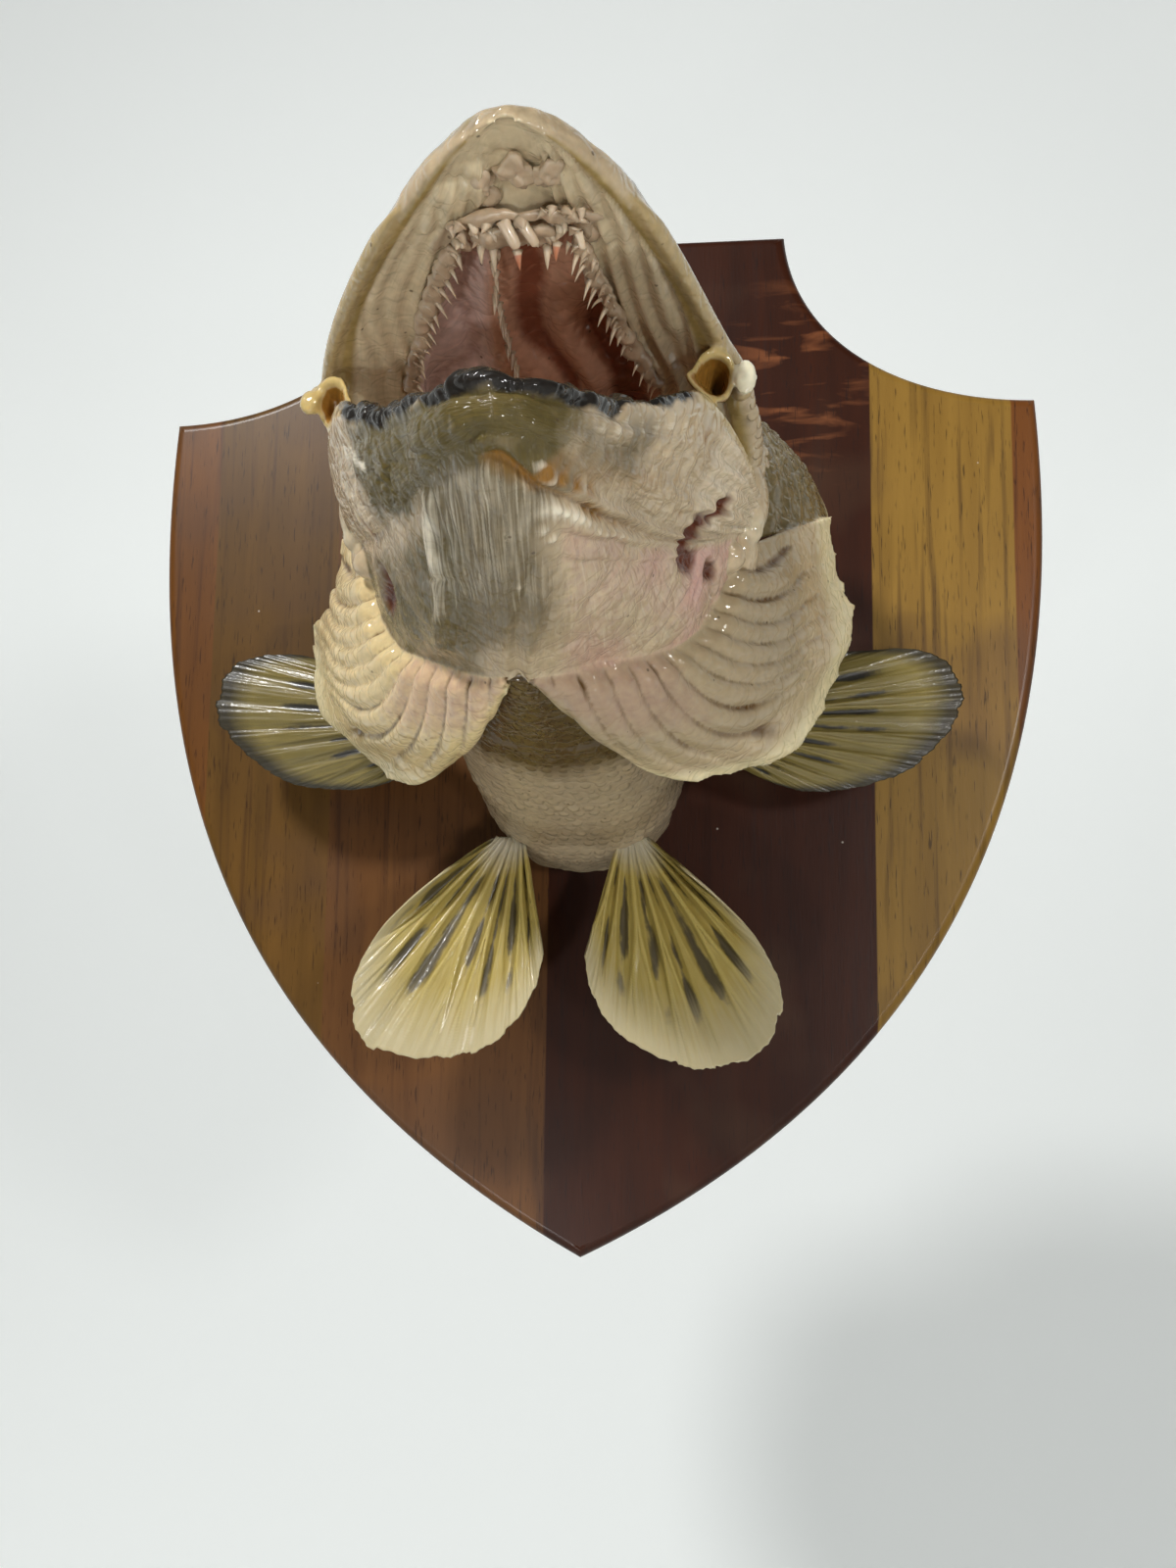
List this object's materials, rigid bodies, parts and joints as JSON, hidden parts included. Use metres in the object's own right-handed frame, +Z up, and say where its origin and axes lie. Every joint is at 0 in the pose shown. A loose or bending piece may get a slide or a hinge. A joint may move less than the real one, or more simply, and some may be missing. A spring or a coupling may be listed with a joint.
{
  "type": "mounted pike head trophy",
  "caption": "Taxidermy head of a northern pike with open mouth and flared gill covers, fins pinned out below it, on a shield-shaped wooden wall board.",
  "frame": {"origin": "middle of the board's flat back face, half way between its shoulders, 173.5 mm above its bottom point", "axes": "+X to the right of a person facing the trophy, +Y into the wall, +Z up"},
  "size_m": [0.3026, 0.2401, 0.346],
  "materials": {
    "walnut_board": "satin varnish",
    "belly_skin": "clear gloss varnish",
    "back_skin": "clear gloss varnish",
    "jaw_skin": "clear gloss varnish",
    "gill_membrane": "clear gloss varnish",
    "mouth_lining": "clear gloss varnish",
    "jaw_bone": "clear gloss varnish",
    "teeth": "gloss",
    "glass_eye": "gloss",
    "pectoral_fins": "clear gloss varnish",
    "pelvic_fins": "clear gloss varnish"
  },
  "bodies": {
    "root": {"board": "walnut_board", "neck": "belly_skin", "breast": "belly_skin", "skull": "back_skin", "lower_jaw": "jaw_skin", "throat": "jaw_skin", "tongue": "mouth_lining", "vomer": "teeth", "eye_left": "glass_eye", "eye_right": "glass_eye", "maxilla_left": "jaw_bone", "maxilla_right": "jaw_bone", "palatine_left": "teeth", "palatine_right": "teeth", "gill_cover_left": "back_skin", "gill_cover_right": "back_skin", "gill_fan_left": "gill_membrane", "gill_fan_right": "gill_membrane", "pectoral_fin_left": "pectoral_fins", "pectoral_fin_right": "pectoral_fins", "pelvic_fin_left": "pelvic_fins", "pelvic_fin_right": "pelvic_fins"}
  },
  "joints": []
}
